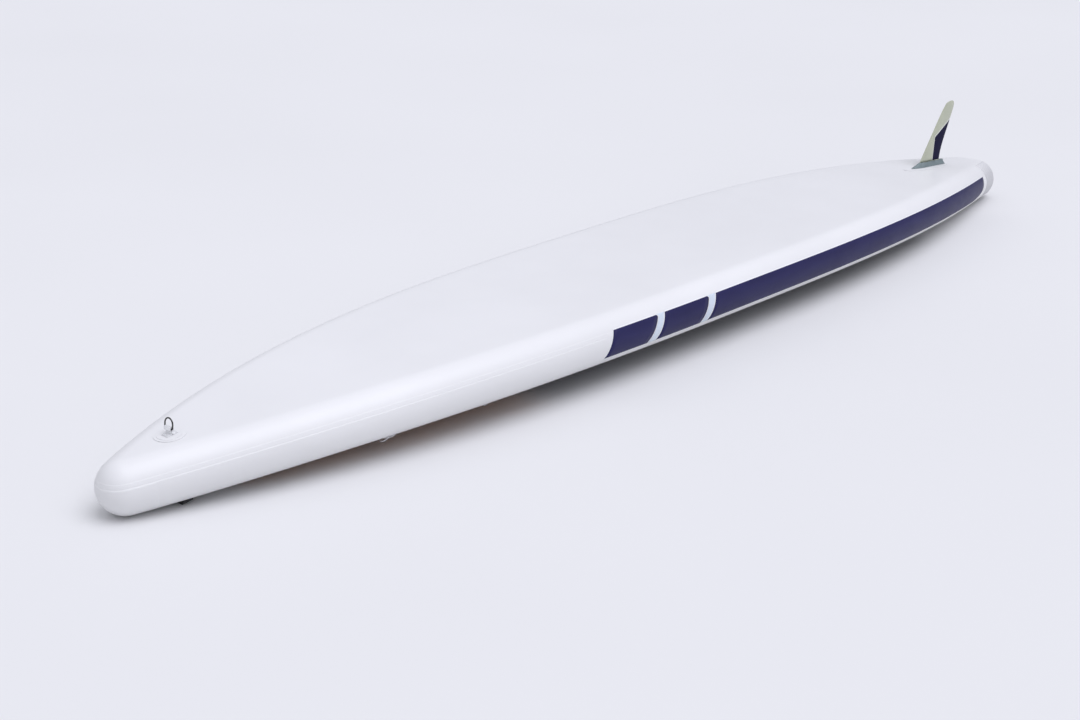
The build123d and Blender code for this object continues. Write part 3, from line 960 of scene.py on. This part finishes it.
def finish_tab(node, place, wire, wide, reach, axis, roll, web, thread):
    tab = ring_tab(f"{node}_visual", place, wire, wide, reach, axis, roll, MAT[web])
    sewn = stitches(f"{node}_stitching", place, tab_threads(reach, wide), TAB_LOW + WEB, MAT[thread])
    return tab


tow_place = seat(TOW_X, 0, 1)
tow_tab = finish_tab("tow_ring_tab", tow_place, 0.0040, 0.0252, 0.0175, 0.0185, 0.0066, "white_web",
                     "thread")
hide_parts("tow_ring_tab")
ride(tow_tab)
leash_place = seat(LEASH_X, 0, -1)
leash_tab = finish_tab("leash_ring_tab", leash_place, 0.0045, 0.0245, 0.0168, 0.00695, 0.0040,
                       "black_web", "dark_thread")
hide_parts("leash_ring_tab")
ride(leash_tab)
cargo_tabs = []
for i, (x, y) in enumerate(CARGO_PLACES):
    cargo_tabs.append(finish_tab(f"cargo_tab_{i + 1}", seat(x, y, -1), 0.0040, 0.0178, 0.0138, 0.0068,
                                 0.0038, "white_web", "thread"))
cargo_tab_set = join(cargo_tabs, "cargo_ring_tabs_visual")
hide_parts("cargo_ring_tabs")
ride(cargo_tab_set)


# ---------------------------------------------------------------- carry handles
def handle_strap(node, place, points, bend, thick, wide, sewn, thread_z):
    line = rounded(points, bend, 6)
    dense = []
    for a, b in zip(line, line[1:]):
        count = max(int(math.dist(a, b) / 0.006), 1)
        dense += [(lerp(a[0], b[0], i / count), lerp(a[1], b[1], i / count)) for i in range(count)]
    strap = ribbon(f"{node}_visual", place, dense + [line[-1]], thick, wide, MAT["black_web"])
    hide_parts(node)
    ride(strap)
    threads = [s for x0, x1 in sewn for s in boxed_cross(x0, x1, -wide * 0.36, wide * 0.36)]
    seam = stitches(f"{node}_stitching", place, threads, thread_z, MAT["dark_thread"])


LOW = 0.0018
carry_place = seat(0, 0, -1)
handle_strap("carry_handle_strap", carry_place,
             [(-0.175, LOW + 0.001), (-0.122, LOW + 0.001), (-0.084, 0.018), (0.084, 0.018),
              (0.122, LOW + 0.001), (0.175, LOW + 0.001)],
             0.018, 0.0019, 0.0378, ((-0.170, -0.128), (0.128, 0.170)), LOW + 0.0019)
for node, x in SMALL_HANDLES:
    handle_strap(node, turned(seat(x, 0, -1)),
                 [(-0.044, LOW + 0.0008), (-0.0638, LOW + 0.0008), (-0.0638, 0.0133), (0.0638, 0.0133),
                  (0.0638, LOW + 0.0008), (0.044, LOW + 0.0008)],
                 0.0048, 0.0015, 0.0338, ((-0.058, -0.046), (0.046, 0.058)), LOW + 0.0015)


def neoprene_grip():
    """Padded sleeve round the middle of the carry strap, its seam along one side."""
    rows, around_count = 30, 28
    verts, faces = [], []
    for i in range(rows + 1):
        t = i / rows
        x = lerp(-0.0618, 0.0618, t)
        near = min(t, 1 - t) * 0.1236
        tuck = 1 - 0.30 * max(0.0, 1 - near / 0.006) ** 2
        swell = 1 + 0.05 * math.sin(math.pi * t)
        for j in range(around_count):
            a = 2 * math.pi * j / around_count
            cy = abs(math.cos(a)) ** 0.62 * math.copysign(1, math.cos(a))
            cz = abs(math.sin(a)) ** 0.72 * math.copysign(1, math.sin(a))
            seam = 1 + (0.018 if j == 0 else 0.0)
            verts.append(on_seat(carry_place, x, 0.0222 * cy * tuck * seam,
                                 0.018 + 0.0056 * cz * tuck * swell))
    for i in range(rows):
        for j in range(around_count):
            a, b = i * around_count + j, i * around_count + (j + 1) % around_count
            faces.append((a, b, b + around_count, a + around_count))
    faces.append(tuple(range(around_count))[::-1])
    faces.append(tuple(range(rows * around_count, (rows + 1) * around_count)))
    obj = mesh_object("carry_handle_grip_visual", verts, faces, MAT["grip"])
    weld(obj, 1e-7)
    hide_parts("carry_handle_grip")
    ride(obj)
    rows_of_thread = [s for y in (-0.0125, 0.0125) for s in stitch_line((-0.058, y), (0.058, y), 0.004)]
    stitches("grip_stitching", carry_place, rows_of_thread, 0.0234, MAT["dark_thread"])


neoprene_grip()


KICK_HALF, KICK_LOW = 0.1375, 0.0006


def kick_pad():
    """Foam wedge that the rear foot stands against, ribbed along its ramp, soft at its edges."""
    place = seat(KICK_X, 0, -1)
    ramp = [(0.0755, KICK_LOW), (0.0755, 0.0040), (0.0725, 0.0056)]
    ribs = 9
    for k in range(ribs):
        for share_in, drop in ((0.08, 0.0), (0.62, 0.0), (0.70, 0.0014), (0.92, 0.0014)):
            t = (k + share_in) / ribs
            ramp.append((lerp(0.0710, -0.0340, t), lerp(0.0060, 0.0212, t) - drop))
    back = [(-0.0370, 0.0217), (-0.0420, 0.0219), (-0.0600, 0.0219), (-0.0655, 0.0212),
            (-0.0700, 0.0180), (-0.0745, 0.0130), (-0.0757, 0.0105), (-0.0757, KICK_LOW)]
    profile = ramp + back
    rows = []
    for t in eased(-KICK_HALF, KICK_HALF, 30, 0.012, 7):
        near = KICK_HALF - abs(t)
        sink = 1 - math.sqrt(max(1 - (1 - min(near / 0.009, 1.0)) ** 2, 0.0))
        rows.append([on_seat(place, x * (1 - 0.05 * sink), t, lerp(z, KICK_LOW, 0.72 * sink))
                     for x, z in profile])
    count = len(profile)
    verts = [p for row in rows for p in row]
    faces = [(i * count + j, i * count + (j + 1) % count, (i + 1) * count + (j + 1) % count,
              (i + 1) * count + j) for i in range(len(rows) - 1) for j in range(count)]
    faces += [tuple(range(count))[::-1], tuple(range((len(rows) - 1) * count, len(rows) * count))]
    obj = mesh_object("kick_pad_visual", verts, faces, MAT["pad"])
    weld(obj, 1e-7)
    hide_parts("kick_pad")
    ride(obj)


kick_pad()


# ---------------------------------------------------------------- fin
FIN_O, FIN_X, FIN_Y, FIN_Z = seat(BOX_X, 0, 1)
BLADE_HALF = 0.0032


def fin_point(x, y, z):
    return FIN_O + FIN_X * x + FIN_Y * y + FIN_Z * z


def catmull(points, t):
    """Point at height t on a smooth line through (x, z) points in rising z."""
    for i in range(len(points) - 1):
        if t <= points[i + 1][1] or i == len(points) - 2:
            break
    p = [points[max(i - 1, 0)], points[i], points[i + 1], points[min(i + 2, len(points) - 1)]]
    u = (t - p[1][1]) / (p[2][1] - p[1][1])
    slopes = []
    for a, b, c in ((p[0], p[1], p[2]), (p[1], p[2], p[3])):
        slopes.append((c[0] - a[0]) / (c[1] - a[1]) * (p[2][1] - p[1][1]))
    h = (2 * u**3 - 3 * u**2 + 1, u**3 - 2 * u**2 + u, -2 * u**3 + 3 * u**2, u**3 - u**2)
    return h[0] * p[1][0] + h[1] * slopes[0] + h[2] * p[2][0] + h[3] * slopes[1]


LEADING = [(0.059, 0.0194), (0.026, 0.070), (-0.008, 0.120), (-0.065, 0.203), (-0.088, 0.230),
           (-0.101, 0.240), (-0.124, 0.2450)]
TRAILING = [(-0.085, 0.0194), (-0.0885, 0.050), (-0.100, 0.090), (-0.126, 0.153), (-0.149, 0.210),
            (-0.1530, 0.228), (-0.151, 0.2395), (-0.142, 0.2450)]
ROOT_Z, TIP_Z = LEADING[0][1], LEADING[-1][1]


def foil(u, chord):
    """Half thickness across the chord: round at the front, thin at the back."""
    full = BLADE_HALF * min(1.0, (chord / 0.06) ** 0.5)
    shape = 1.9 * math.sqrt(max(u, 0)) * (1 - u) ** 0.75
    return max(full * min(shape, 1.0), 0.0004 if 0 < u < 1 else 0.0002)


def blade():
    heights = [ROOT_Z + (TIP_Z - ROOT_Z) * (1 - (1 - i / 44) ** 1.6) for i in range(45)]
    across = [(1 - math.cos(math.pi * j / 18)) / 2 for j in range(19)]
    verts, faces = [], []
    for z in heights:
        front, back = catmull(LEADING, z), catmull(TRAILING, z)
        ring = [(u, 1) for u in across] + [(u, -1) for u in across[-2:0:-1]]
        for u, way in ring:
            verts.append(fin_point(lerp(front, back, u), way * foil(u, front - back), z))
    loop = 2 * len(across) - 2
    for i in range(len(heights) - 1):
        for j in range(loop):
            a, b = i * loop + j, i * loop + (j + 1) % loop
            faces.append((a, b, b + loop, a + loop))
    faces.append(tuple(range(loop))[::-1])
    faces.append(tuple(range((len(heights) - 1) * loop, len(heights) * loop)))
    tang = [fin_point(x, y, z) for z in (0.0073, ROOT_Z + 0.001) for x, y in
            ((0.035, -0.002), (0.035, 0.002), (-0.084, 0.002), (-0.084, -0.002))]
    start = len(verts)
    verts += tang
    faces += [tuple(start + k for k in f) for f in
              ((3, 2, 1, 0), (4, 5, 6, 7), (0, 1, 5, 4), (1, 2, 6, 5), (2, 3, 7, 6), (3, 0, 4, 7))]
    obj = mesh_object("fin_blade_visual", verts, faces, MAT["fin"])
    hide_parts("fin_blade")
    return ride(obj, "fin")


def fin_print(name, way, front_x, bend_z, top_z, lift, material):
    """Print on one side of the blade: upright front edge, then a slant to the rear edge."""
    heights = [lerp(ROOT_Z + 0.0005, top_z, i / 40) for i in range(41)]
    columns = 10
    top, bottom = [], []
    for z in heights:
        lead, trail = catmull(LEADING, z), catmull(TRAILING, z)
        end = catmull(TRAILING, top_z)
        x = front_x if z < bend_z else lerp(front_x, end, (z - bend_z) / (top_z - bend_z))
        x = max(x, trail + 0.0003)
        row = []
        for j in range(columns + 1):
            px = lerp(x, trail + 0.0004, j / columns)
            row.append((px, foil((lead - px) / (lead - trail), lead - trail)))
        top.append([fin_point(px, way * (h + lift), z) for px, h in row])
        bottom.append([fin_point(px, way * (h - 0.0001), z) for px, h in row])
    obj = slab(name, top, bottom, material)
    weld(obj, 1e-7)
    return ride(obj, "fin")


blade()
for way, label in ((1, "left"), (-1, "right")):
    fin_print(f"fin_outline_{label}", way, -0.0290, 0.1140, 0.1800, 0.00012, MAT["fin_line"])
    fin_print(f"fin_decal_{label}", way, -0.0330, 0.1110, 0.1720, 0.00022, MAT["fin_print"])

for node, material in (
    ("fin_box", "box"), ("fin_foot", "foot"), ("fin_rivets", "steel"), ("fin_lock_lever", "foot"),
    ("fin_lock_pin", "steel"), ("fin_box_patch", "patch"), ("tow_ring_patch", "patch"),
    ("tow_ring", "dark_steel"), ("leash_ring", "steel"), ("leash_ring_patch", "black_patch"),
    ("cargo_ring_patches", "patch"), ("valve_body", "valve"), ("valve_nut", "valve"),
    ("valve_plunger", "valve"), ("valve_seal", "rubber"), ("valve_spring", "spring"),
    ("valve_cap", "valve"), ("valve_cap_seal", "rubber"), ("carry_handle_patches", "black_patch"),
    ("nose_handle_patches", "black_patch"), ("tail_handle_patches", "black_patch"),
    ("drop_stitch_yarns", "yarn"),
):
    paint(node, material)
for node in NODES:
    if node.startswith("cargo_ring_") and node not in ("cargo_ring_patches", "cargo_ring_tabs"):
        paint(node, "steel")


# ---------------------------------------------------------------- studio
def floor():
    verts = [(-40, -40, 0), (40, -40, 0), (40, 40, 0), (-40, 40, 0)]
    n = Nodes("studio_floor")
    n.colour(n.ramp(n.noise(0.4, 2), (0.765, 0.765, 0.765), (0.785, 0.785, 0.785)))
    n.rough(n.noise(3, 3), 0.75, 0.85)
    obj = mesh_object("studio_floor", verts, [(0, 1, 2, 3)], n.material, None, False)


def sun(name, towards, angle, strength, colour):
    data = bpy.data.lights.new(name, "SUN")
    data.angle = math.radians(angle)
    data.energy = strength
    data.color = colour
    obj = bpy.data.objects.new(name, data)
    obj.rotation_euler = (-Vector(towards)).to_track_quat("-Z", "Y").to_euler()
    bpy.context.collection.objects.link(obj)


def world(colour, at_horizon, overhead):
    """Soft studio surround, brighter overhead than at the horizon."""
    data = bpy.data.worlds.new("studio")
    data.use_nodes = True
    tree = data.node_tree
    back = tree.nodes["Background"]
    back.inputs[0].default_value = (*colour, 1)
    split = tree.nodes.new("ShaderNodeSeparateXYZ")
    tree.links.new(tree.nodes.new("ShaderNodeTexCoord").outputs["Generated"], split.inputs[0])
    level = tree.nodes.new("ShaderNodeMapRange")
    level.inputs["To Min"].default_value = at_horizon
    level.inputs["To Max"].default_value = overhead
    tree.links.new(split.outputs["Z"], level.inputs["Value"])
    tree.links.new(level.outputs[0], back.inputs[1])
    bpy.context.scene.world = data


def camera():
    place = Vector((4.5465, 3.5870, 1.9719))
    yaw, pitch, roll = (math.radians(v) for v in (221.672, -20.165, 0.310))
    look = Vector((math.cos(yaw) * math.cos(pitch), math.sin(yaw) * math.cos(pitch), math.sin(pitch)))
    right = look.cross(Vector((0, 0, 1))).normalized()
    up = right.cross(look)
    right, up = (right * math.cos(roll) + up * math.sin(roll),
                 up * math.cos(roll) - right * math.sin(roll))
    turn = Matrix((right, up, -look)).transposed()
    data = bpy.data.cameras.new("camera")
    data.sensor_width = 36.0
    data.lens = 62.40
    data.clip_end = 200
    obj = bpy.data.objects.new("camera", data)
    obj.matrix_world = Matrix.Translation(place) @ turn.to_4x4()
    bpy.context.collection.objects.link(obj)
    bpy.context.scene.camera = obj


floor()
world((0.900, 0.915, 1.0), 0.22, 0.94)
sun("key_softbox", (-0.15, 0.45, 1.20), 50, 1.32, (0.925, 0.925, 1.0))
sun("fill_softbox", (0.20, 1.00, 0.45), 90, 0.42, (0.925, 0.925, 1.0))
camera()
bpy.context.scene.view_settings.view_transform = "Standard"
